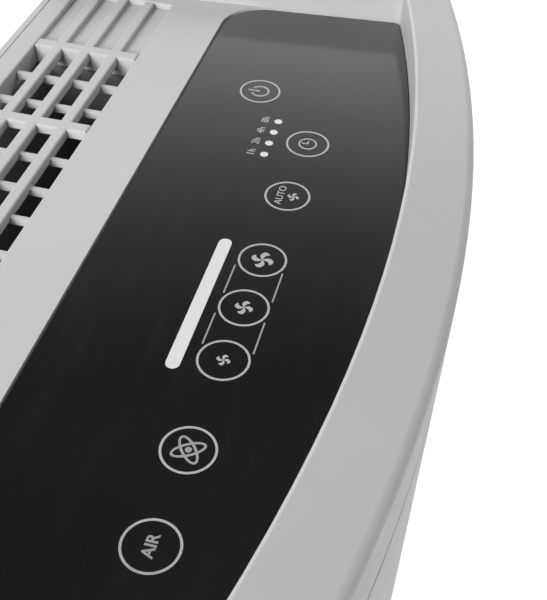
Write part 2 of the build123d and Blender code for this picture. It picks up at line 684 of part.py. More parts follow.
with BuildPart() as motor_case:
    with BuildSketch(upright(MOTOR_BACK)):
        with Locations((0, FAN_Z)):
            Circle(MOTOR_RADIUS)
    extrude(amount=MOTOR_LENGTH)
    fillet(edges().sort_by(Axis.Y)[-1], 3)
    with BuildSketch(upright(MOTOR_BACK - 3)):
        with Locations((0, FAN_Z)):
            with PolarLocations(MOTOR_RADIUS - 10, 12):
                Rectangle(10, 4)
    extrude(amount=-3, mode=Mode.SUBTRACT)
    with BuildSketch(upright(MOTOR_BACK - 2)):
        with Locations((0, FAN_Z)):
            Circle(BEARING)
    extrude(amount=MOTOR_LENGTH, mode=Mode.SUBTRACT)
save(motor_case, "motor_case")

with BuildPart() as motor_bearings:
    for y in (MOTOR_FRONT + 6, MOTOR_BACK - 3):
        with BuildSketch(upright(y)):
            with Locations((0, FAN_Z)):
                Circle(BEARING)
                Circle(SHAFT + RUNNING, mode=Mode.SUBTRACT)
        extrude(amount=5)
save(motor_bearings, "motor_bearings")

with BuildPart() as motor_bracket:
    with BuildSketch(upright(MOTOR_FRONT + 8)):
        with Locations((0, FAN_Z)):
            for angle in LEG_ANGLES:
                with PolarLocations(LEG_REACH / 2, 1, start_angle=angle):
                    Rectangle(LEG_REACH, 12)
                with PolarLocations(LEG_REACH, 1, start_angle=angle):
                    Circle(7)
            Circle(MOTOR_RADIUS + 3)
            Circle(MOTOR_RADIUS, mode=Mode.SUBTRACT)
            with PolarLocations(LEG_REACH, 3, start_angle=LEG_ANGLES[0]):
                Circle(SCREW + RUNNING, mode=Mode.SUBTRACT)
    extrude(amount=8)
save(motor_bracket, "motor_bracket")

with BuildPart() as motor_screws:
    with BuildSketch(upright(MOTOR_FRONT + 8)):
        with Locations((0, FAN_Z)):
            with PolarLocations(LEG_REACH, 3, start_angle=LEG_ANGLES[0]):
                Circle(SCREW)
    extrude(amount=8)
    with BuildSketch(upright(MOTOR_FRONT + 8)):
        with Locations((0, FAN_Z)):
            with PolarLocations(LEG_REACH, 3, start_angle=LEG_ANGLES[0]):
                Circle(SCREW_HEAD)
    extrude(amount=-SCREW_HEAD / 2)
save(motor_screws, "motor_screws")

DUCT_TOP = GRILLE_BOTTOM - 0.5


def duct(out):
    """Outlet duct drawn outward by out: the scroll's mouth widening to the grille."""
    mouth_left = TONGUE_X - out
    mouth_right = SCROLL_SIDE + out
    with BuildSketch(Plane.XY.offset(MOUTH_Z)) as mouth:
        with Locations(((mouth_left + mouth_right) / 2, (BULKHEAD_BACK + SCROLL_WALL + SCROLL_BACK) / 2)):
            Rectangle(mouth_right - mouth_left, SCROLL_WIDTH - SCROLL_WALL + 2 * out)
    with BuildSketch(Plane.XY.offset(DUCT_TOP)) as top:
        with Locations((0, GRILLE_MIDDLE)):
            Rectangle(2 * (GRILLE_OPEN + out), GRILLE_DEPTH + 2 * out)
    return mouth.sketch, top.sketch


with BuildPart() as outlet_duct:
    loft(duct(SCROLL_WALL), ruled=True)
    loft(duct(0), ruled=True, mode=Mode.SUBTRACT)
save(outlet_duct, "outlet_duct")

# ---------------------------------------------------------------- top frame
BOARD_POST = 2.3
BOARD_SCREW = 1.0
BOARD_SCREW_LONG = 4.0   # its reach into the post
BOARD_SCREW_HEAD = 1.2
SPRING = 5.0             # outer radius of the touch springs
SPRING_WALL = 1.0
CONTACT_GAP = 0.05
BOARD_POSTS = [
    (sx * side_x(y, RIM_WIDTH + GLASS_LEDGE / 2), y) for sx in (-1, 1) for y in (BUTTON_Y, -4.0)
]
GRILLE_HALF = side_x(GRILLE_FRONT + GRILLE_DEPTH, RIM_WIDTH) - SHELF_END
GRILLE_BRIM = 3.0
RIM_CEILING = RIM_EDGE - 0.6


def recess_outline(inset):
    """Plan of the recess: it follows the rim at the front and sides and runs out at the back."""
    x, y = corner_point(inset)
    back = BACK_Y + 5
    back_x = side_x(back, inset)
    with BuildLine() as edge:
        ThreePointArc((-x, y), (0, FRONT_Y + inset), (x, y))
        Polyline((x, y), (back_x, back), (-back_x, back), (-x, y))
    make_face(edge.edges())
    fillet(vertices().filter_by(lambda v: v.Y < y + 0.01), RECESS_CORNER)


with BuildSketch(Plane.XY.offset(RIM_EDGE)) as rim_low:
    body_outline(0)
with BuildSketch(Plane.XY.offset(HEIGHT)) as rim_high:
    body_outline(RIM_WIDTH - RIM_LAND, RECESS_CORNER, RECESS_CORNER)
with BuildSketch() as rim_inside:
    recess_outline(RIM_WIDTH - WALL)

# the rounded top of the recess wall, as a stack of outlines that widen upwards
recess_rounding = []
for angle in (0, 30, 60, 90):
    rise = RIM_EDGE_ROUND * sin(radians(angle))
    widen = RIM_EDGE_ROUND * (1 - cos(radians(angle)))
    with BuildSketch(Plane.XY.offset(HEIGHT - RIM_EDGE_ROUND + rise)) as level:
        recess_outline(RIM_WIDTH - widen)
    recess_rounding.append(level.sketch)

with BuildPart() as top_frame:
    with BuildSketch(Plane.XY.offset(RIM_BOTTOM)):
        body_outline(0)
    extrude(amount=RIM_SIDE)
    loft([rim_low.sketch, rim_high.sketch], ruled=True)
    outer_edge = edges().filter_by(lambda e: abs(e.center().Z - RIM_EDGE) < 0.1)
    fillet(outer_edge, RIM_ROUND)
    chamfer(faces().sort_by(Axis.Z)[0].edges(), EDGE_BREAK)
    # hollow inside the skirt and the rim
    with BuildSketch(Plane.XY.offset(RIM_BOTTOM)):
        body_outline(WALL)
    extrude(amount=RIM_CEILING - RIM_BOTTOM, mode=Mode.SUBTRACT)
    # deck, hung from the wall of the recess
    with BuildSketch(Plane.XY.offset(DECK_BOTTOM)):
        body_outline(WALL + SLIP)
    extrude(amount=DECK)
    with BuildSketch(Plane.XY.offset(DECK_TOP)):
        body_outline(WALL + SLIP)
        add(rim_inside.sketch, mode=Mode.INTERSECT)
    extrude(amount=RIM_CEILING - DECK_TOP)
    with BuildSketch(Plane.XY.offset(DECK_TOP)):
        recess_outline(RIM_WIDTH)
    extrude(amount=HEIGHT - DECK_TOP + 1, mode=Mode.SUBTRACT)
    loft(recess_rounding, ruled=True, mode=Mode.SUBTRACT)
    # seat for the touch panel
    with BuildSketch(Plane.XY.offset(GLASS_BOTTOM)):
        glass_outline(0)
    extrude(amount=DECK_TOP - GLASS_BOTTOM, mode=Mode.SUBTRACT)
    with BuildSketch(Plane.XY.offset(DECK_BOTTOM)):
        glass_outline(0, GLASS_LEDGE)
    extrude(amount=DECK, mode=Mode.SUBTRACT)
    # window for the outlet grille
    with BuildSketch(Plane.XY.offset(DECK_BOTTOM)):
        with Locations((0, GRILLE_MIDDLE)):
            Rectangle(2 * (GRILLE_HALF + INSERT_GAP), GRILLE_DEPTH + 2 * INSERT_GAP)
    extrude(amount=DECK, mode=Mode.SUBTRACT)
    fillet(edges(Select.LAST).group_by(Axis.Z)[-1], WINDOW_ROUND)
    # posts for the housing's pads and for the touch board
    with BuildSketch(Plane.XY.offset(PAD_TOP)):
        with Locations(*DECK_POSTS):
            Circle(DECK_POST)
    extrude(amount=DECK_BOTTOM - PAD_TOP)
    with BuildSketch(Plane.XY.offset(PAD_TOP)):
        with Locations(*DECK_POSTS):
            Circle(SCREW + RUNNING)
    extrude(amount=12, mode=Mode.SUBTRACT)
    with BuildSketch(Plane.XY.offset(BOARD_TOP)):
        with Locations(*BOARD_POSTS):
            Circle(BOARD_POST)
    extrude(amount=DECK_BOTTOM - BOARD_TOP)
    with BuildSketch(Plane.XY.offset(BOARD_TOP)):
        with Locations(*BOARD_POSTS):
            Circle(BOARD_SCREW + RUNNING)
    extrude(amount=BOARD_SCREW_LONG + 1, mode=Mode.SUBTRACT)
save(top_frame, "top_frame")

with BuildPart() as deck_screws:
    screws(DECK_POSTS, PAD + 10, PAD_TOP - PAD, 1)
save(deck_screws, "deck_screws")

with BuildPart() as touch_glass:
    with BuildSketch(Plane.XY.offset(GLASS_BOTTOM)):
        glass_outline(GLASS_GAP)
    extrude(amount=GLASS)
    chamfer(faces().sort_by(Axis.Z)[-1].edges(), 0.3)
save(touch_glass, "touch_glass")

BUTTONS = [(x, BUTTON_Y) for x in BUTTON_X] + [POWER_BUTTON]

with BuildPart() as touch_board:
    with BuildSketch(Plane.XY.offset(BOARD_TOP - BOARD)):
        body_outline(RIM_WIDTH + SLIP, RECESS_CORNER, RECESS_CORNER)
        keep_ahead(GLASS_BACK)
        with Locations(*BOARD_POSTS):
            Circle(BOARD_SCREW + RUNNING, mode=Mode.SUBTRACT)
    extrude(amount=BOARD)
save(touch_board, "touch_board")

with BuildPart() as board_screws:
    with BuildSketch(Plane.XY.offset(BOARD_TOP - BOARD)):
        with Locations(*BOARD_POSTS):
            Circle(BOARD_SCREW)
    extrude(amount=BOARD + BOARD_SCREW_LONG)
    with BuildSketch(Plane.XY.offset(BOARD_TOP - BOARD - BOARD_SCREW_HEAD)):
        with Locations(*BOARD_POSTS):
            Circle(2.2 * BOARD_SCREW)
    extrude(amount=BOARD_SCREW_HEAD)
save(board_screws, "touch_board_screws")

with BuildPart() as touch_springs:
    with BuildSketch(Plane.XY.offset(BOARD_TOP)):
        with Locations(*BUTTONS):
            Circle(SPRING)
            Circle(SPRING - SPRING_WALL, mode=Mode.SUBTRACT)
    extrude(amount=GLASS_BOTTOM - BOARD_TOP - CONTACT_GAP)
save(touch_springs, "touch_springs")

with BuildPart() as light_guide:
    with BuildSketch(Plane.XY.offset(BOARD_TOP)):
        with Locations(LIGHT_BAR_CENTRE):
            SlotOverall(LIGHT_BAR[0] + 2, LIGHT_BAR[1] + 2)
    extrude(amount=GLASS_BOTTOM - BOARD_TOP - CONTACT_GAP)
save(light_guide, "light_guide")

# ---------------------------------------------------------------- outlet grille
BAR_PITCH = GRILLE_GAP + GRILLE_BAR
BAR_Y = [GRILLE_FRONT + BAR_PITCH * (n + 1) - GRILLE_BAR / 2 for n in range(GRILLE_BARS)]
RIB_X = [start - n * GRILLE_CELL for start in (GRILLE_OPEN, GRILLE_BRIDGE_X) for n in (1, 2)]
END_X = (GRILLE_OPEN + GRILLE_HALF) / 2
END_LONG = GRILLE_HALF - GRILLE_OPEN

with BuildPart() as outlet_grille:
    # brim that hangs under the deck, and the closed ends with their shelf
    with BuildSketch(Plane.XY.offset(GRILLE_BOTTOM)):
        with Locations((0, GRILLE_MIDDLE)):
            Rectangle(2 * (GRILLE_HALF + GRILLE_BRIM), GRILLE_DEPTH + 2 * GRILLE_BRIM)
            Rectangle(2 * GRILLE_OPEN, GRILLE_DEPTH, mode=Mode.SUBTRACT)
    extrude(amount=DECK_BOTTOM - GRILLE_BOTTOM - 0.1)
    with BuildSketch(Plane.XY.offset(GRILLE_BOTTOM)):
        with Locations((-END_X, GRILLE_MIDDLE), (END_X, GRILLE_MIDDLE)):
            Rectangle(END_LONG, GRILLE_DEPTH)
    extrude(amount=GRILLE_THICK - SHELF_DROP)
    # thin ribs below the bars
    with BuildSketch(Plane.XY.offset(DECK_TOP - GRILLE_RIB_DROP - GRILLE_RIB_HIGH)):
        for x in RIB_X:
            with Locations((-x, GRILLE_MIDDLE), (x, GRILLE_MIDDLE)):
                Rectangle(GRILLE_RIB, GRILLE_DEPTH)
    extrude(amount=GRILLE_RIB_HIGH)
    # bars and bridges at the level of the deck
    with BuildSketch(Plane.XY.offset(DECK_TOP - GRILLE_BAR_HIGH)):
        for y in BAR_Y:
            with Locations((0, y)):
                Rectangle(2 * GRILLE_HALF, GRILLE_BAR)
        for x in (GRILLE_BRIDGE_X, GRILLE_OPEN + GRILLE_BRIDGE / 2):
            with Locations((-x, GRILLE_MIDDLE), (x, GRILLE_MIDDLE)):
                Rectangle(GRILLE_BRIDGE, GRILLE_DEPTH)
    extrude(amount=GRILLE_BAR_HIGH)
    fillet(faces().sort_by(Axis.Z)[-1].edges(), 0.8)
save(outlet_grille, "outlet_grille")

# ---------------------------------------------------------------- filters
TAB_WIDE = 24.0
TAB_HIGH = 30.0

with BuildPart() as prefilter_frame:
    with BuildSketch(upright(PREFILTER_FRONT + PREFILTER)):
        with Locations((0, FILTER_MIDDLE)):
            RectangleRounded(2 * FILTER_HALF, FILTER_HEIGHT, 4)
            Rectangle(2 * (FILTER_HALF - FRAME_EDGE), FILTER_HEIGHT - 2 * FRAME_EDGE, mode=Mode.SUBTRACT)
    extrude(amount=PREFILTER)
    with BuildSketch(upright(PREFILTER_FRONT + PREFILTER / 2)):
        with Locations((0, FILTER_MIDDLE)):
            with GridLocations(FILTER_HALF / 2, 0, 3, 1):
                Rectangle(3, FILTER_HEIGHT - FRAME_EDGE)
            with GridLocations(0, FILTER_HEIGHT / 6, 1, 5):
                Rectangle(2 * FILTER_HALF - FRAME_EDGE, 3)
    extrude(amount=PREFILTER / 2)
    # two finger notches in the top edge
    with BuildSketch(upright(PREFILTER_FRONT + PREFILTER)):
        with Locations((-FILTER_HALF / 2, FILTER_TOP), (FILTER_HALF / 2, FILTER_TOP)):
            RectangleRounded(TAB_WIDE, FRAME_EDGE, 3)
    extrude(amount=PREFILTER, mode=Mode.SUBTRACT)
save(prefilter_frame, "prefilter_frame")

with BuildPart() as prefilter_mesh:
    with BuildSketch(upright(PREFILTER_FRONT + PREFILTER / 2 + 1)):
        with Locations((0, FILTER_MIDDLE)):
            Rectangle(2 * (FILTER_HALF - FRAME_EDGE), FILTER_HEIGHT - 2 * FRAME_EDGE)
    extrude(amount=1)
save(prefilter_mesh, "prefilter_mesh")

INNER_HALF = FILTER_HALF - WALL
INNER_HEIGHT = FILTER_HEIGHT - 2 * WALL

with BuildPart() as hepa_frame:
    with BuildSketch(upright(HEPA_BACK)):
        with Locations((0, FILTER_MIDDLE)):
            Rectangle(2 * FILTER_HALF, FILTER_HEIGHT)
            Rectangle(2 * INNER_HALF, INNER_HEIGHT, mode=Mode.SUBTRACT)
    extrude(amount=HEPA)
save(hepa_frame, "hepa_frame")

with BuildPart() as carbon_filter:
    with BuildSketch(upright(HEPA_FRONT + 1 + CARBON)):
        with Locations((0, FILTER_MIDDLE)):
            Rectangle(2 * INNER_HALF, INNER_HEIGHT)
    extrude(amount=CARBON)
save(carbon_filter, "carbon_filter")

PLEAT_FRONT = HEPA_FRONT + CARBON + 2
PLEAT_BACK = HEPA_BACK - 1
PLEATS = int(2 * INNER_HALF / PLEAT_PITCH)
PLEAT_START = -PLEATS * PLEAT_PITCH / 2
FOLDS = [PLEAT_START + n * PLEAT_PITCH / 2 for n in range(2 * PLEATS + 1)]
FRONT_FOLDS = [(x, PLEAT_BACK - PLEAT_SHEET if n % 2 else PLEAT_FRONT) for n, x in enumerate(FOLDS)]
BACK_FOLDS = [(x, y + PLEAT_SHEET) for x, y in FRONT_FOLDS]

with BuildPart() as hepa_pleats:
    with BuildSketch(Plane.XY.offset(FILTER_BOTTOM + WALL)):
        with BuildLine():
            Polyline(*FRONT_FOLDS, *reversed(BACK_FOLDS), close=True)
        make_face()
    extrude(amount=INNER_HEIGHT)
save(hepa_pleats, "hepa_pleats")

with BuildPart() as hepa_seal:
    with BuildSketch(upright(BULKHEAD_FRONT - 0.1)):
        with Locations((0, FILTER_MIDDLE)):
            RectangleRounded(2 * FILTER_HALF - 4, FILTER_HEIGHT - 4, 4)
            RectangleRounded(2 * FILTER_HALF - 20, FILTER_HEIGHT - 20, 3, mode=Mode.SUBTRACT)
    extrude(amount=BULKHEAD_FRONT - 0.1 - HEPA_BACK)
save(hepa_seal, "hepa_seal")

with BuildPart() as pull_tabs:
    with BuildSketch(upright(HEPA_FRONT)):
        for side in (-1, 1):
            with Locations((side * FILTER_HALF / 2, FILTER_TOP - TAB_HIGH / 2)):
                RectangleRounded(TAB_WIDE, TAB_HIGH, 5)
            with Locations((side * FILTER_HALF / 2, FILTER_TOP - TAB_HIGH + 9)):
                SlotOverall(TAB_WIDE - 8, 6, mode=Mode.SUBTRACT)
    extrude(amount=1)
save(pull_tabs, "filter_pull_tabs")

# ---------------------------------------------------------------- safety switch
with BuildPart() as safety_switch:
    with BuildSketch(upright(HOUSING_FRONT + FLANGE + 16)):
        with Locations((0, SWITCH_Z)):
            Rectangle(20, 10)
            Circle(PLUNGER + RUNNING, mode=Mode.SUBTRACT)
    extrude(amount=16)
save(safety_switch, "safety_switch")

with BuildPart() as switch_plunger:
    with BuildSketch(upright(HOUSING_FRONT + FLANGE + 12)):
        with Locations((0, SWITCH_Z)):
            Circle(PLUNGER)
    extrude(amount=FLANGE + 12 + PLUNGER_OUT)
    fillet(faces().sort_by(Axis.Y)[0].edges(), 1.2)
save(switch_plunger, "switch_plunger")

# ---------------------------------------------------------------- electronics and ioniser
BOARD_X = -side_x(BACK_Y - 20, WALL + 5)
BOARD_LONG = 78.0
BOARD_MIDDLE_Y = MOTOR_FRONT - 34.0
MAIN_Z = 290.0
POWER_Z = 130.0
BOARD_HIGH = 120.0
# y and z from the board's middle, then length, height and thickness
COMPONENTS = [
    (-24, -38, 20, 16, 12),
    (10, -36, 26, 22, 14),
    (-22, 8, 16, 30, 9),
    (14, 12, 18, 18, 7),
    (0, 44, 50, 10, 6),
]


def side_board(z):
    """A circuit board standing along the left side, with its row of components."""
    with BuildSketch(Plane.YZ.offset(BOARD_X)) as plate:
        with Locations((BOARD_MIDDLE_Y, z)):
            Rectangle(BOARD_LONG, BOARD_HIGH)
    extrude(plate.sketch, amount=BOARD)
    for dy, dz, long, high, tall in COMPONENTS:
        with BuildSketch(Plane.YZ.offset(BOARD_X + BOARD)) as block:
            with Locations((BOARD_MIDDLE_Y + dy, z + dz)):
                Rectangle(long, high)
        extrude(block.sketch, amount=tall)


with BuildPart() as main_board:
    side_board(MAIN_Z)
save(main_board, "main_board")

with BuildPart() as power_board:
    side_board(POWER_Z)
save(power_board, "power_board")

SPACERS = [
    (BOARD_MIDDLE_Y + sy * 34, z + sz * 55)
    for z in (MAIN_Z, POWER_Z)
    for sy in (-1, 1)
    for sz in (-1, 1)
]

with BuildPart() as board_spacers:
    with BuildSketch(Plane.YZ.offset(BOARD_X)):
        with Locations(*SPACERS):
            Circle(2.5)
    extrude(amount=-4.5)
save(board_spacers, "board_spacers")

IONISER_Y = GRILLE_FRONT + GRILLE_DEPTH / 2
NEEDLE_X = -(GRILLE_OPEN + SCROLL_WALL)

with BuildPart() as ioniser:
    with BuildSketch(Plane.YZ.offset(NEEDLE_X - 6)):
        with Locations((IONISER_Y, DUCT_TOP - 24)):
            RectangleRounded(30, 16, 2)
    extrude(amount=-22)
save(ioniser, "ioniser_module")
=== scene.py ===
"""A free-standing air purifier seen close over its touch panel, in a white studio."""

import json
from math import cos, pi, radians, sin

import bpy
import bmesh
from mathutils import Matrix, Vector


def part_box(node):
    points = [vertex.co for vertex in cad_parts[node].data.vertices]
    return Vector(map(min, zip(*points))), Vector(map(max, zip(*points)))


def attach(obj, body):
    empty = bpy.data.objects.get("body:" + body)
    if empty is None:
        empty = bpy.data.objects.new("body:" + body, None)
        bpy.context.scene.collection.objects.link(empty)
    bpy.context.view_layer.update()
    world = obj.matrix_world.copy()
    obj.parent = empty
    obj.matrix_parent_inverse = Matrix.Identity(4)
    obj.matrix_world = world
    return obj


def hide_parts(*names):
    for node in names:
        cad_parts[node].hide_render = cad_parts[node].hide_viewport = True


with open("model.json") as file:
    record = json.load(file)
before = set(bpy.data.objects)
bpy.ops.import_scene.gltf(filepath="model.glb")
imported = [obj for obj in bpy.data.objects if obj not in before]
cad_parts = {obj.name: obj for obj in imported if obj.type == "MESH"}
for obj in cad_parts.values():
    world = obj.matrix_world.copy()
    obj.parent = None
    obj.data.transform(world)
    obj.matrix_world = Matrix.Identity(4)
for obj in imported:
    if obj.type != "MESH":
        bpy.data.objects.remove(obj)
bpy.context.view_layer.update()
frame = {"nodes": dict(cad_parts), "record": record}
NODES = frame["nodes"]

MM = 0.001

# ---------------------------------------------------------------- sizes, from the frame
GLASS_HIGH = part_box("touch_glass")[1]
GLASS_TOP = GLASS_HIGH.z
GLASS_BACK = GLASS_HIGH.y                    # the glass's straight back edge
BUTTON_Y = GLASS_BACK - 57.1 * MM            # the row of buttons
LIGHT_LOW, LIGHT_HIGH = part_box("light_guide")
LIGHT_MIDDLE = (LIGHT_LOW + LIGHT_HIGH) / 2
PRINT = 0.03 * MM                            # half thickness of the printed marks
LIFT = 0.004 * MM                            # between marks that cross, so that no faces share a plane
WELD = 0.001 * MM                            # a mark's points nearer than this are joined

# the touch panel's marks
RING = 8.0 * MM
RING_STROKE = 0.75 * MM
LABEL_X, ORBIT_X = -122.8 * MM, -90.8 * MM
FAN_X = (-55.6 * MM, -32.0 * MM, -8.3 * MM)
FAN_SIZE = (2.2 * MM, 3.0 * MM, 3.8 * MM)
AUTO_X, CLOCK_X = 27.6 * MM, 61.0 * MM
POWER = (91.4 * MM, GLASS_BACK - 30.1 * MM)
RAIL_REACH = 8.2 * MM                        # the rails beside the fan buttons, from the row's middle
TIMER_X = 49.8 * MM                          # first of the four timer lights
TIMER_STEP = 7.5 * MM
TIMER_LABEL_Y = GLASS_BACK - 37.5 * MM
TIMER_DOT = 1.55 * MM
ORBIT_LONG, ORBIT_SHORT = 5.0 * MM, 1.9 * MM
ORBIT_STROKE = 0.8 * MM
ORBIT_CORE = 1.0 * MM
CLOCK_RADIUS = 3.3 * MM
CLOCK_STROKE = 0.62 * MM
CLOCK_MINUTE, CLOCK_HOUR = 2.3 * MM, 1.6 * MM
THIN_STROKE = 0.55 * MM                      # the clock's hands and the rails
RAIL_GAP = 5.0 * MM                          # from a fan button's middle to the rail's end
POWER_RADIUS = 3.5 * MM
POWER_STROKE = 1.0 * MM
BOLD = 0.02 * MM                             # added to the outline of the small lettering
CAPITAL_HEIGHT = 0.70                        # height of a capital in the font, as a share of its size

WAVE_SCALE = 0.314                           # the wave texture's scale for bands one metre apart

# ---------------------------------------------------------------- node helpers


class Look:
    """A material: its principled shader, and short calls for the nodes that feed it."""

    def __init__(self, name, color, roughness, **sockets):
        self.material = bpy.data.materials.new(name)
        self.material.use_nodes = True
        self.tree = self.material.node_tree
        self.shader = self.tree.nodes["Principled BSDF"]
        self.place = self.add("ShaderNodeTexCoord").outputs["Object"]
        self.set("Base Color", (*color, 1))
        self.set("Roughness", roughness)
        for socket, value in sockets.items():
            self.set(socket.replace("_", " "), value)
        self.material.diffuse_color = (*color, 1)

    def add(self, kind, **settings):
        node = self.tree.nodes.new(kind)
        for name, value in settings.items():
            setattr(node, name, value)
        return node

    def join(self, source, socket):
        """Links an output to a socket, or sets the socket to a plain value."""
        if isinstance(source, bpy.types.NodeSocket):
            self.tree.links.new(source, socket)
        else:
            socket.default_value = source

    def set(self, socket, value):
        self.join(value, self.shader.inputs[socket])

    def stretched(self, x, y, z):
        """The object's own coordinates, scaled along each axis."""
        node = self.add("ShaderNodeMapping")
        self.join(self.place, node.inputs["Vector"])
        node.inputs["Scale"].default_value = (x, y, z)
        return node.outputs["Vector"]

    def noise(self, size, detail=3.0, roughness=0.5, place=None):
        """Noise whose blotches are about size metres across."""
        node = self.add("ShaderNodeTexNoise")
        self.join(place or self.place, node.inputs["Vector"])
        node.inputs["Scale"].default_value = 1 / size
        node.inputs["Detail"].default_value = detail
        node.inputs["Roughness"].default_value = roughness
        return node.outputs["Fac"]

    def cells(self, size, feature="F1"):
        node = self.add("ShaderNodeTexVoronoi", feature=feature)
        self.join(self.place, node.inputs["Vector"])
        node.inputs["Scale"].default_value = 1 / size
        return node.outputs["Distance"]

    def waves(self, size, direction):
        node = self.add("ShaderNodeTexWave", bands_direction=direction)
        self.join(self.place, node.inputs["Vector"])
        node.inputs["Scale"].default_value = WAVE_SCALE / size
        return node.outputs["Fac"]

    def math(self, operation, first, second, clamp=False):
        node = self.add("ShaderNodeMath", operation=operation, use_clamp=clamp)
        self.join(first, node.inputs[0])
        self.join(second, node.inputs[1])
        return node.outputs[0]

    def spread(self, value, low, high, from_low=0.0, from_high=1.0):
        """Rescales a value and clamps it."""
        node = self.add("ShaderNodeMapRange")
        self.join(value, node.inputs["Value"])
        node.inputs["From Min"].default_value = from_low
        node.inputs["From Max"].default_value = from_high
        node.inputs["To Min"].default_value = low
        node.inputs["To Max"].default_value = high
        return node.outputs["Result"]

    def mix(self, factor, first, second):
        node = self.add("ShaderNodeMix", data_type="RGBA")
        self.join(factor, node.inputs["Factor"])
        for value, socket in ((first, node.inputs["A"]), (second, node.inputs["B"])):
            self.join(value if isinstance(value, bpy.types.NodeSocket) else (*value, 1), socket)
        return node.outputs["Result"]

    def bevel(self, radius):
        """The normal with its edges rounded, and a mask that is 1 along those edges."""
        node = self.add("ShaderNodeBevel", samples=4)
        node.inputs["Radius"].default_value = radius
        flat = self.add("ShaderNodeNewGeometry").outputs["Normal"]
        dot = self.add("ShaderNodeVectorMath", operation="DOT_PRODUCT")
        self.join(node.outputs["Normal"], dot.inputs[0])
        self.join(flat, dot.inputs[1])
        edge = self.spread(dot.outputs["Value"], 1, 0, 0.80, 0.995)
        return node.outputs["Normal"], edge

    def crevices(self, reach):
        """0 deep in a corner, 1 in the open."""
        node = self.add("ShaderNodeAmbientOcclusion", samples=4)
        node.inputs["Distance"].default_value = reach
        return node.outputs["AO"]

    def bump(self, height, depth, strength, normal=None):
        node = self.add("ShaderNodeBump")
        node.inputs["Strength"].default_value = strength
        node.inputs["Distance"].default_value = depth
        self.join(height, node.inputs["Height"])
        if normal is not None:
            self.join(normal, node.inputs["Normal"])
        return node.outputs["Normal"]

    def done(self, normal=None):
        if normal is not None:
            self.set("Normal", normal)
        return self.material


def shade(color, amount):
    return tuple(min(channel * amount, 1.0) for channel in color)


# ---------------------------------------------------------------- materials


def moulded(name, color, roughness, grain=0.45 * MM, depth=0.012 * MM, round_edge=0.35 * MM, **sockets):
    """Spark-textured moulding: fine grain, faint blotches and flow marks, polished edges, and dust with painted
    shade in corners.
    """
    look = Look(name, color, roughness, **sockets)
    rounded, edge = look.bevel(round_edge)
    blotch = look.spread(look.noise(60 * MM, 4), 0, 1, 0.3, 0.7)
    tone = look.mix(blotch, shade(color, 0.975), shade(color, 1.02))
    specks = look.spread(look.noise(1.1 * MM, 2), 0, 1, 0.69, 0.78)
    tone = look.mix(look.math("MULTIPLY", specks, 0.05), tone, shade(color, 0.75))
    # dust and painted shade: corners are darkened by ambient occlusion, in noise blotches
    dust = look.spread(look.crevices(5 * MM), 0.16, 0, 0.15, 0.75)
    dusty = look.math("MULTIPLY", dust, look.spread(look.noise(7 * MM, 3), 0.4, 1))
    tone = look.mix(dusty, tone, shade(color, 0.62))
    tone = look.mix(look.math("MULTIPLY", edge, 0.25), tone, shade(color, 1.08))
    look.set("Base Color", tone)
    rough = look.spread(look.noise(14 * MM, 4), roughness - 0.04, roughness + 0.05, 0.3, 0.7)
    look.set("Roughness", look.math("SUBTRACT", rough, look.math("MULTIPLY", edge, 0.1)))
    grained = look.bump(look.noise(grain, 4, 0.6), depth, 0.9, rounded)
    return look.done(look.bump(look.noise(35 * MM, 2), 0.03 * MM, 0.25, grained))


GLASS_BLACK = (0.004, 0.004, 0.0043)


def panel_glass():
    """Black-backed glass: wipe marks, dust, a barely rippled surface, and a painted reflection, a grey that
    grows towards +X.
    """
    look = Look("panel_glass", GLASS_BLACK, 0.09, IOR=1.5)
    wipes = look.noise(9 * MM, 5, 0.6, look.stretched(0.35, 1.6, 1))
    marks = look.spread(wipes, 0, 1, 0.45, 0.75)
    look.set("Roughness", look.spread(marks, 0.12, 0.18))
    dust = look.spread(look.noise(0.5 * MM, 1), 0, 1, 0.76, 0.84)
    haze = look.math("ADD", look.math("MULTIPLY", dust, 0.35), look.math("MULTIPLY", marks, 0.012))
    dusty = look.mix(haze, GLASS_BLACK, (0.11, 0.11, 0.11))
    axes = look.add("ShaderNodeSeparateXYZ")
    look.join(look.place, axes.inputs[0])
    # the veil stands in for the light that the far half of the panel reflects in the photograph
    painted_reflection = look.math("POWER", look.spread(axes.outputs["X"], 0, 1, 0.0, 160 * MM), 2.0)
    look.set("Base Color", look.mix(look.math("MULTIPLY", painted_reflection, 0.8), dusty, (0.10, 0.10, 0.10)))
    rounded, _ = look.bevel(0.3 * MM)
    return look.done(look.bump(look.noise(45 * MM, 1), 0.02 * MM, 0.2, rounded))


def printed(name, color, glow=0.0):
    """Ink on the glass: slightly uneven cover, with the glass's own gloss."""
    look = Look(name, color, 0.22)
    cover = look.spread(look.noise(0.35 * MM, 2), 0, 1, 0.35, 0.7)
    look.set("Base Color", look.mix(cover, shade(color, 0.86), shade(color, 1.06)))
    if glow:
        look.set("Emission Color", (*color, 1))
        look.set("Emission Strength", glow)
    return look.done(look.bump(look.noise(0.4 * MM, 2), 0.004 * MM, 0.6))


def metal(name, color, roughness, grain, stretch, depth=0.006 * MM):
    """Plated or cast metal: drawn grain, tarnish and rounded edges."""
    look = Look(name, color, roughness, Metallic=1.0)
    streaks = look.noise(grain, 5, 0.65, look.stretched(*stretch))
    tarnish = look.spread(look.noise(6 * MM, 4), 0, 1, 0.4, 0.75)
    tone = look.mix(streaks, shade(color, 0.86), shade(color, 1.08))
    look.set("Base Color", look.mix(look.math("MULTIPLY", tarnish, 0.35), tone, shade(color, 0.7)))
    look.set("Roughness", look.spread(streaks, roughness - 0.06, roughness + 0.1))
    rounded, _ = look.bevel(0.2 * MM)
    return look.done(look.bump(streaks, depth, 0.7, rounded))


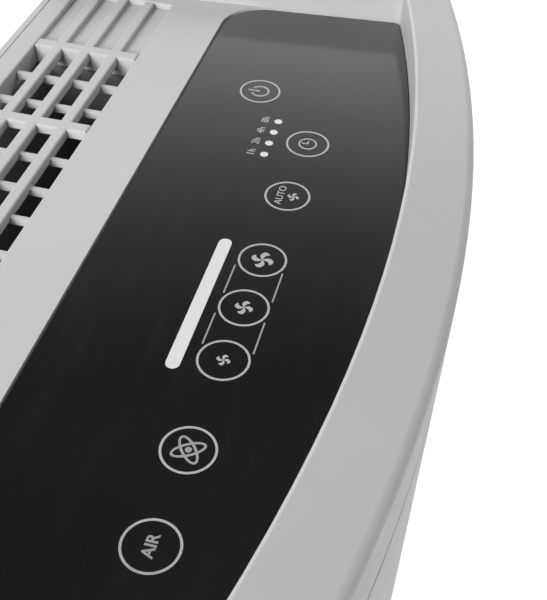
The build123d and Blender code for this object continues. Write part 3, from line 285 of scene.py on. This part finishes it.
def rubber():
    look = Look("rubber", (0.03, 0.03, 0.031), 0.78)
    bloom = look.spread(look.noise(5 * MM, 5), 0, 1, 0.4, 0.75)
    bloomed = look.math("MULTIPLY", bloom, 0.4)
    look.set("Base Color", look.mix(bloomed, (0.028, 0.028, 0.029), (0.09, 0.088, 0.085)))
    look.set("Roughness", look.spread(bloom, 0.7, 0.9))
    rounded, _ = look.bevel(0.4 * MM)
    return look.done(look.bump(look.noise(0.5 * MM, 4), 0.03 * MM, 0.8, rounded))


def foam():
    """Closed-cell foam: small round pores."""
    look = Look("seal_foam", (0.12, 0.12, 0.125), 0.95, Sheen_Weight=0.2)
    pores = look.cells(0.9 * MM)
    raised = look.spread(pores, 0, 1, 0.1, 0.6)
    look.set("Base Color", look.mix(raised, (0.05, 0.05, 0.052), (0.16, 0.16, 0.165)))
    return look.done(look.bump(pores, 0.15 * MM, 0.9))


def card():
    """Coated card: fibres, and a slightly scuffed edge."""
    look = Look("card_frame", (0.72, 0.70, 0.65), 0.72)
    fibres = look.noise(1.4 * MM, 5, 0.7, look.stretched(0.25, 1, 1))
    rounded, edge = look.bevel(0.5 * MM)
    tone = look.mix(fibres, (0.68, 0.66, 0.60), (0.76, 0.745, 0.70))
    look.set("Base Color", look.mix(look.math("MULTIPLY", edge, 0.6), tone, (0.56, 0.50, 0.40)))
    return look.done(look.bump(fibres, 0.03 * MM, 0.8, rounded))


def pleat_paper():
    """Glass-fibre paper: soft felted fibres, with blotches of scorch-dark dust."""
    look = Look("pleat_paper", (0.84, 0.84, 0.82), 0.95, Sheen_Weight=0.15)
    fibres = look.noise(0.7 * MM, 6, 0.75, look.stretched(1, 1, 0.3))
    dust = look.spread(look.noise(22 * MM, 5), 0, 1, 0.45, 0.8)
    tone = look.mix(fibres, (0.78, 0.78, 0.76), (0.88, 0.88, 0.87))
    look.set("Base Color", look.mix(look.math("MULTIPLY", dust, 0.3), tone, (0.55, 0.54, 0.51)))
    return look.done(look.bump(fibres, 0.06 * MM, 0.9))


def carbon():
    """Carbon grains filling small cells."""
    look = Look("carbon", (0.02, 0.02, 0.021), 0.6)
    cells = look.cells(6 * MM, "DISTANCE_TO_EDGE")
    walls = look.spread(cells, 1, 0, 0.02, 0.06)
    grains = look.cells(1.1 * MM)
    tone = look.mix(look.spread(grains, 0, 1, 0.1, 0.7), (0.012, 0.012, 0.012), (0.05, 0.05, 0.052))
    look.set("Base Color", look.mix(walls, tone, (0.09, 0.09, 0.09)))
    look.set("Roughness", look.spread(grains, 0.35, 0.8))
    return look.done(look.bump(look.math("ADD", grains, walls), 0.3 * MM, 0.9))


def woven(name, color, pitch, roughness=0.9):
    """Plain weave: over and under threads with a soft sheen."""
    look = Look(name, color, roughness, Sheen_Weight=0.35)
    across = look.waves(pitch, "X")
    along = look.waves(pitch, "Z")
    threads = look.math("MULTIPLY", across, along)
    fuzz = look.noise(pitch / 2, 3)
    lint = look.math("MULTIPLY", threads, fuzz, True)
    look.set("Base Color", look.mix(lint, shade(color, 0.55), shade(color, 1.5)))
    return look.done(look.bump(look.math("ADD", threads, fuzz), 0.2 * MM, 0.9))


def circuit():
    """Solder mask over copper traces, with silk-screened outlines."""
    look = Look("circuit_board", (0.02, 0.13, 0.055), 0.34, Coat_Weight=0.3, Coat_Roughness=0.15)
    traces = look.add("ShaderNodeTexBrick", offset=0.35, squash=1.6, squash_frequency=3)
    flat = look.add("ShaderNodeMapping")
    look.join(look.place, flat.inputs["Vector"])
    flat.inputs["Rotation"].default_value = (0, radians(90), 0)
    look.join(flat.outputs["Vector"], traces.inputs["Vector"])
    traces.inputs["Scale"].default_value = 60
    traces.inputs["Mortar Size"].default_value = 0.012
    traces.inputs["Color1"].default_value = (0, 0, 0, 1)
    traces.inputs["Color2"].default_value = (0.1, 0.1, 0.1, 1)
    traces.inputs["Mortar"].default_value = (1, 1, 1, 1)
    line = traces.outputs["Fac"]
    pads = look.spread(look.cells(3.2 * MM), 1, 0, 0.10, 0.16)
    tone = look.mix(line, (0.018, 0.115, 0.05), (0.05, 0.24, 0.10))
    look.set("Base Color", look.mix(pads, tone, (0.72, 0.70, 0.62)))
    look.set("Metallic", look.math("MULTIPLY", pads, 0.8))
    return look.done(look.bump(look.math("ADD", line, pads), 0.04 * MM, 0.8))


def opal():
    look = Look("light_guide", (0.9, 0.9, 0.9), 0.3, Subsurface_Weight=0.4, Transmission_Weight=0.1)
    cloud = look.noise(2.5 * MM, 3)
    look.set("Base Color", look.mix(cloud, (0.84, 0.84, 0.85), (0.94, 0.94, 0.93)))
    return look.done(look.bump(cloud, 0.01 * MM, 0.5))


WHITE = (0.47, 0.47, 0.468)
INNER = (0.44, 0.44, 0.43)
BLACK = (0.055, 0.055, 0.058)

LOOKS = {
    "shell_white": moulded("shell_white", WHITE, 0.48, Specular_IOR_Level=0.25),
    "inner_white": moulded("inner_white", INNER, 0.55, 0.7 * MM, 0.02 * MM),
    "duct_grey": moulded("duct_grey", (0.22, 0.22, 0.222), 0.6, 0.7 * MM, 0.02 * MM),
    "fan_plastic": moulded("fan_plastic", BLACK, 0.48, 0.6 * MM, 0.016 * MM),
    "filter_frame": moulded("filter_frame", (0.42, 0.43, 0.44), 0.42),
    "filter_mesh": woven("filter_mesh", (0.10, 0.10, 0.105), 0.35 * MM, 0.7),
    "panel_glass": panel_glass(),
    "card_frame": card(),
    "pleat_paper": pleat_paper(),
    "carbon": carbon(),
    "seal_foam": foam(),
    "tab_fabric": woven("tab_fabric", (0.10, 0.25, 0.42), 0.7 * MM),
    "steel": metal("zinc_plate", (0.60, 0.60, 0.61), 0.34, 0.8 * MM, (1, 1, 0.2)),
    "motor_metal": metal("cast_aluminium", (0.60, 0.61, 0.62), 0.46, 1.2 * MM, (1, 1, 1), 0.03 * MM),
    "magnet": metal("nickel_plate", (0.55, 0.54, 0.52), 0.22, 0.5 * MM, (1, 0.3, 1)),
    "rubber": rubber(),
    "board_green": circuit(),
    "spring_steel": metal("spring_steel", (0.72, 0.72, 0.73), 0.16, 0.4 * MM, (1, 1, 0.2)),
    "light_plastic": opal(),
    "switch_plastic": moulded("switch_red", (0.52, 0.06, 0.04), 0.35),
    "spacer_nylon": moulded("spacer_nylon", (0.62, 0.62, 0.59), 0.5),
}

for part in frame["record"]["subparts"]:
    mesh = NODES[part["node"]].data
    mesh.materials.clear()
    mesh.materials.append(LOOKS[part["material_slot"]])


# ---------------------------------------------------------------- printed marks on the touch panel


def circle(x, y, radius, count=64):
    angles = [2 * pi * n / count for n in range(count)]
    return [(x + radius * cos(angle), y + radius * sin(angle)) for angle in angles]


def hoop(x, y, radius, stroke):
    """Two outlines whose difference is a ring."""
    return [circle(x, y, radius + stroke / 2), circle(x, y, radius - stroke / 2)]


def quadratic(a, b, c, count=8):
    """Points of a quadratic curve from a towards c, without c."""
    points = []
    for n in range(count):
        t = n / count
        points.append(tuple((1 - t) ** 2 * p + 2 * t * (1 - t) * q + t * t * r for p, q, r in zip(a, b, c)))
    return points


def turned(points, angle, x, y, size=1.0):
    """Points turned by angle degrees about the origin, scaled, then moved to x, y."""
    c, s = cos(radians(angle)) * size, sin(radians(angle)) * size
    return [(x + c * u - s * v, y + s * u + c * v) for u, v in points]


def bar(x0, y0, x1, y1, width, steps=10):
    """A straight stroke with round ends."""
    a, b = Vector((x0, y0)), Vector((x1, y1))
    start = (b - a).angle_signed(Vector((1, 0)))
    ends = []
    for centre, turn in ((b, -pi / 2), (a, pi / 2)):
        for n in range(steps + 1):
            angle = start + turn + pi * n / steps
            ends.append((centre.x + width / 2 * cos(angle), centre.y + width / 2 * sin(angle)))
    return ends


def mark(name, outlines, material, lift=0.0):
    """A thin closed print on the glass; outlines inside others are holes."""
    curve = bpy.data.curves.new(name, "CURVE")
    curve.dimensions = "2D"
    curve.fill_mode = "BOTH"
    curve.extrude = PRINT
    for outline in outlines:
        spline = curve.splines.new("POLY")
        spline.points.add(len(outline) - 1)
        for point, (x, y) in zip(spline.points, outline):
            point.co = (x, y, 0, 1)
        spline.use_cyclic_u = True
    return as_piece(name, curve, material, (0, 0, GLASS_TOP + lift))


def label(name, text, x, y, height, material, bold=0.0):
    """Generic lettering that reads along X."""
    curve = bpy.data.curves.new(name, "FONT")
    curve.body = text
    curve.size = height / CAPITAL_HEIGHT
    curve.align_x = "CENTER"
    curve.align_y = "CENTER"
    curve.extrude = PRINT
    curve.offset = bold
    curve.resolution_u = 4
    return as_piece(name, curve, material, (x, y, GLASS_TOP))


def as_piece(name, curve, material, place):
    """Turns a curve into a mesh on the housing, just proud of the glass."""
    source = bpy.data.objects.new(name + "_curve", curve)
    bpy.context.scene.collection.objects.link(source)
    bpy.context.view_layer.update()
    evaluated = source.evaluated_get(bpy.context.evaluated_depsgraph_get())
    mesh = bpy.data.meshes.new_from_object(evaluated)
    bpy.data.objects.remove(source)
    mesh.name = name
    tidy = bmesh.new()
    tidy.from_mesh(mesh)
    bmesh.ops.remove_doubles(tidy, verts=tidy.verts, dist=WELD)
    bmesh.ops.recalc_face_normals(tidy, faces=tidy.faces)
    tidy.to_mesh(mesh)
    tidy.free()
    mesh.transform(Matrix.Translation(Vector(place) + Vector((0, 0, PRINT))))
    mesh.materials.clear()
    mesh.materials.append(material)
    piece = bpy.data.objects.new(name, mesh)
    bpy.context.scene.collection.objects.link(piece)
    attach(piece, "housing")
    return piece


def fan_blades(x, y, size):
    """Four swept blades round a point."""
    blade = quadratic((0, 0), (-0.72, 0.42), (-0.22, 1.0))
    blade += quadratic((-0.22, 1.0), (0.16, 1.12), (0.36, 0.80))
    blade += quadratic((0.36, 0.80), (-0.10, 0.70), (0.02, 0.0))
    return [turned(blade, 90 * n - 12, x, y, size) for n in range(4)]


def ellipse_hoop(x, y, long, short, stroke, angle, count=48):
    """Two outlines whose difference is an oval ring, turned by angle degrees."""
    steps = [2 * pi * n / count for n in range(count)]
    outlines = []
    for grow in (stroke / 2, -stroke / 2):
        points = [((long + grow) * cos(step), (short + grow) * sin(step)) for step in steps]
        outlines.append(turned(points, angle, x, y))
    return outlines


def arc_stroke(x, y, radius, stroke, start, stop, count=40):
    """An open ring from start to stop degrees, with round ends."""
    points = []
    for edge, sweep in ((1, range(count + 1)), (-1, range(count, -1, -1))):
        for n in sweep:
            angle = radians(start + (stop - start) * n / count)
            reach = radius + edge * stroke / 2
            points.append((x + reach * cos(angle), y + reach * sin(angle)))
    return points


INK = printed("ink_grey", (0.30, 0.30, 0.30))
INK_BRIGHT = printed("ink_bright", (0.40, 0.40, 0.40))
LIT = printed("ink_white", (0.58, 0.58, 0.58), 0.13)

buttons = {
    "air": (LABEL_X, BUTTON_Y),
    "ions": (ORBIT_X, BUTTON_Y),
    "speed_low": (FAN_X[0], BUTTON_Y),
    "speed_middle": (FAN_X[1], BUTTON_Y),
    "speed_high": (FAN_X[2], BUTTON_Y),
    "auto": (AUTO_X, BUTTON_Y),
    "timer": (CLOCK_X, BUTTON_Y),
    "power": POWER,
}
for button, (x, y) in buttons.items():
    mark("ring_" + button, hoop(x, y, RING, RING_STROKE), INK_BRIGHT)

for button, x, size in zip(("low", "middle", "high"), FAN_X, FAN_SIZE):
    for number, blade in enumerate(fan_blades(x, BUTTON_Y, size)):
        mark(f"fan_{button}_blade_{number}", [blade], INK_BRIGHT, number * LIFT)
for number, blade in enumerate(fan_blades(AUTO_X, BUTTON_Y - 2.2 * MM, 2.1 * MM)):
    mark(f"fan_auto_blade_{number}", [blade], INK_BRIGHT, number * LIFT)
label("label_auto", "AUTO", AUTO_X, BUTTON_Y + 2.5 * MM, 2.7 * MM, INK_BRIGHT, BOLD)
label("label_air", "AIR", LABEL_X, BUTTON_Y, 3.3 * MM, INK, 0.12 * MM)

for number, angle in enumerate((38, -58)):
    shape = ellipse_hoop(ORBIT_X, BUTTON_Y, ORBIT_LONG, ORBIT_SHORT, ORBIT_STROKE, angle)
    mark(f"orbit_{number}", shape, INK, number * LIFT)
mark("orbit_core", [circle(ORBIT_X, BUTTON_Y, ORBIT_CORE, 24)], INK, 3 * LIFT)

mark("clock_face", hoop(CLOCK_X, BUTTON_Y, CLOCK_RADIUS, CLOCK_STROKE), INK_BRIGHT)
minute_hand = bar(CLOCK_X, BUTTON_Y, CLOCK_X, BUTTON_Y + CLOCK_MINUTE, THIN_STROKE)
mark("clock_minute", [minute_hand], INK_BRIGHT)
hour_hand = bar(CLOCK_X, BUTTON_Y, CLOCK_X + CLOCK_HOUR, BUTTON_Y, THIN_STROKE)
mark("clock_hour", [hour_hand], INK_BRIGHT, LIFT)

mark("power_arc", [arc_stroke(*POWER, POWER_RADIUS, POWER_STROKE, 120, 420)], INK)
power_top = POWER[1] + 4.6 * MM
mark("power_bar", [bar(POWER[0], POWER[1] + 0.4 * MM, POWER[0], power_top, POWER_STROKE)], INK)

for side in (-1, 1):
    y = BUTTON_Y + side * RAIL_REACH
    for number in (0, 1):
        start, stop = FAN_X[number] + RAIL_GAP, FAN_X[number + 1] - RAIL_GAP
        name = f"rail_{'back' if side > 0 else 'front'}_{number}"
        mark(name, [bar(start, y, stop, y, THIN_STROKE, 4)], INK)

half = (LIGHT_HIGH.x - LIGHT_LOW.x) / 2 - 1 * MM
thick = LIGHT_HIGH.y - LIGHT_LOW.y - 2 * MM
light_y = LIGHT_MIDDLE.y
light_x = LIGHT_MIDDLE.x
reach = half - thick / 2
mark("light_bar", [bar(light_x - reach, light_y, light_x + reach, light_y, thick)], LIT)
for number, hours in enumerate((1, 2, 4, 8)):
    x = TIMER_X + number * TIMER_STEP
    mark(f"timer_dot_{hours}", [circle(x, light_y, TIMER_DOT, 32)], LIT)
    label(f"label_{hours}h", f"{hours}h", x + 0.2 * MM, TIMER_LABEL_Y, 3.0 * MM, INK_BRIGHT, BOLD)


# ---------------------------------------------------------------- prefilter screen


def box_bars(name, boxes, material, body):
    """One mesh of plain bars, each given by its two opposite corners."""
    built = bmesh.new()
    for low, high in boxes:
        made = bmesh.ops.create_cube(built, size=1.0)["verts"]
        size = Vector(high) - Vector(low)
        middle = (Vector(high) + Vector(low)) / 2
        for vertex in made:
            vertex.co = middle + Vector(a * b for a, b in zip(vertex.co, size))
    mesh = bpy.data.meshes.new(name)
    built.to_mesh(mesh)
    built.free()
    mesh.materials.append(material)
    piece = bpy.data.objects.new(name, mesh)
    bpy.context.scene.collection.objects.link(piece)
    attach(piece, body)
    return piece


SCREEN_LOW, SCREEN_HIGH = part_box("prefilter_mesh")
SCREEN_PITCH = 2.6 * MM
THREAD = 0.5 * MM


def screen_threads():
    """Threads up and across the screen, the two sets lying against each other."""
    middle = (SCREEN_LOW.y + SCREEN_HIGH.y) / 2
    wide, high = SCREEN_HIGH.x - SCREEN_LOW.x, SCREEN_HIGH.z - SCREEN_LOW.z
    threads = []
    count = int(wide / SCREEN_PITCH)
    for n in range(1, count):
        x = SCREEN_LOW.x + wide * n / count
        low = (x - THREAD / 2, middle - THREAD, SCREEN_LOW.z)
        threads.append((low, (x + THREAD / 2, middle, SCREEN_HIGH.z)))
    count = int(high / SCREEN_PITCH)
    for n in range(1, count):
        z = SCREEN_LOW.z + high * n / count
        low = (SCREEN_LOW.x, middle, z - THREAD / 2)
        threads.append((low, (SCREEN_HIGH.x, middle + THREAD, z + THREAD / 2)))
    return threads


screen = box_bars("prefilter_screen", screen_threads(), LOOKS["filter_mesh"], "prefilter")
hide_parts("prefilter_mesh")


# ---------------------------------------------------------------- studio

FLOOR_REACH = 8.0                            # from the middle to each side
FLOOR_GLOW = 0.76
ROOM_STRENGTH = 3.0


def floor():
    """A pale floor with a glow of its own, so that it stays white."""
    look = Look("studio_floor", (0.46, 0.46, 0.46), 0.9)
    look.set("Base Color", look.mix(look.noise(0.4, 3), (0.45, 0.45, 0.45), (0.47, 0.47, 0.47)))
    look.set("Emission Color", (1, 1, 1, 1))
    look.set("Emission Strength", FLOOR_GLOW)
    mesh = bpy.data.meshes.new("studio_floor")
    corners = [(x * FLOOR_REACH, y * FLOOR_REACH, 0) for x, y in ((-1, -1), (1, -1), (1, 1), (-1, 1))]
    mesh.from_pydata(corners, [], [(0, 1, 2, 3)])
    mesh.materials.append(look.done())
    piece = bpy.data.objects.new("studio_floor", mesh)
    bpy.context.scene.collection.objects.link(piece)


def smooth(tree, value, from_low, from_high, low=0.0, high=1.0):
    """Rescales a value with a smooth step."""
    node = tree.nodes.new("ShaderNodeMapRange")
    node.interpolation_type = "SMOOTHSTEP"
    tree.links.new(value, node.inputs["Value"])
    node.inputs["From Min"].default_value = from_low
    node.inputs["From Max"].default_value = from_high
    node.inputs["To Min"].default_value = low
    node.inputs["To Max"].default_value = high
    return node.outputs["Result"]


def combined(tree, operation, first, second):
    node = tree.nodes.new("ShaderNodeMath")
    node.operation = operation
    tree.links.new(first, node.inputs[0])
    tree.links.new(second, node.inputs[1])
    return node.outputs[0]


def surroundings():
    """A white room: pale walls and ceiling, a dark band between them, a brighter far wall, a dim front."""
    world = bpy.data.worlds.new("studio")
    bpy.context.scene.world = world
    world.use_nodes = True
    tree = world.node_tree
    background = tree.nodes["Background"]
    direction = tree.nodes.new("ShaderNodeTexCoord").outputs["Generated"]
    parts = tree.nodes.new("ShaderNodeSeparateXYZ")
    tree.links.new(direction, parts.inputs[0])
    # by height, from the horizon up
    ramp = tree.nodes.new("ShaderNodeValToRGB")
    ramp.color_ramp.interpolation = "EASE"
    stops = ramp.color_ramp.elements
    stops[0].position, stops[0].color = 0.20, (0.26, 0.26, 0.26, 1)
    stops[1].position, stops[1].color = 0.97, (0.30, 0.30, 0.30, 1)
    for position, value in ((0.55, 0.05), (0.86, 0.06)):
        stop = stops.new(position)
        stop.color = (value, value, value, 1)
    tree.links.new(parts.outputs["Z"], ramp.inputs[0])
    # the far wall, towards +X, is brighter below the dark band
    wall = smooth(tree, parts.outputs["Z"], 0.76, 0.42, 0.0, 0.42)
    towards = smooth(tree, parts.outputs["X"], 0.2, 0.8)
    total = combined(tree, "ADD", ramp.outputs["Color"], combined(tree, "MULTIPLY", wall, towards))
    # the side towards -Y, ahead of the purifier, is dim
    front = smooth(tree, parts.outputs["Y"], -0.75, -0.05, 0.2)
    tree.links.new(combined(tree, "MULTIPLY", total, front), background.inputs["Color"])
    background.inputs["Strength"].default_value = ROOM_STRENGTH


def soft_light(name, place, aim, size, power):
    """A rectangular lamp; sizes in metres and power in watts."""
    light = bpy.data.lights.new(name, "AREA")
    light.shape = "RECTANGLE"
    light.size, light.size_y = size
    light.energy = power
    lamp = bpy.data.objects.new(name, light)
    bpy.context.scene.collection.objects.link(lamp)
    lamp.location = place
    lamp.rotation_euler = (Vector(aim) - Vector(place)).to_track_quat("-Z", "Y").to_euler()
    lamp.visible_glossy = False              # no glossy surface mirrors the lamp, only its light


CAMERA_PLACE = (-0.2526, -0.0966, 0.7523)
CAMERA_HEADING = 12.58                       # degrees from +X towards +Y
CAMERA_TILT = -44.52                         # degrees above the horizon, so it looks down
CAMERA_ROLL = 2.28
CAMERA_LENS, CAMERA_SENSOR = 60.1, 36.0      # millimetres
CAMERA_NEAR = 0.01


def camera():
    data = bpy.data.cameras.new("camera")
    data.lens = CAMERA_LENS
    data.sensor_width = CAMERA_SENSOR
    data.clip_start = CAMERA_NEAR
    eye = bpy.data.objects.new("camera", data)
    bpy.context.scene.collection.objects.link(eye)
    heading = Matrix.Rotation(radians(CAMERA_HEADING - 90), 4, "Z")
    tilt = Matrix.Rotation(radians(90 + CAMERA_TILT), 4, "X")
    roll = Matrix.Rotation(radians(CAMERA_ROLL), 4, "Z")
    eye.matrix_world = Matrix.Translation(CAMERA_PLACE) @ heading @ tilt @ roll
    bpy.context.scene.camera = eye


floor()
surroundings()
soft_light("key", place=(-1.95, 0.72, 1.55), aim=(0.05, 0.0, 0.5), size=(1.2, 0.9), power=76)
soft_light("fill", place=(0.75, -0.25, 1.0), aim=(0.15, -0.05, 0.53), size=(0.5, 0.5), power=3.6)
camera()
bpy.context.scene.view_settings.view_transform = "Standard"
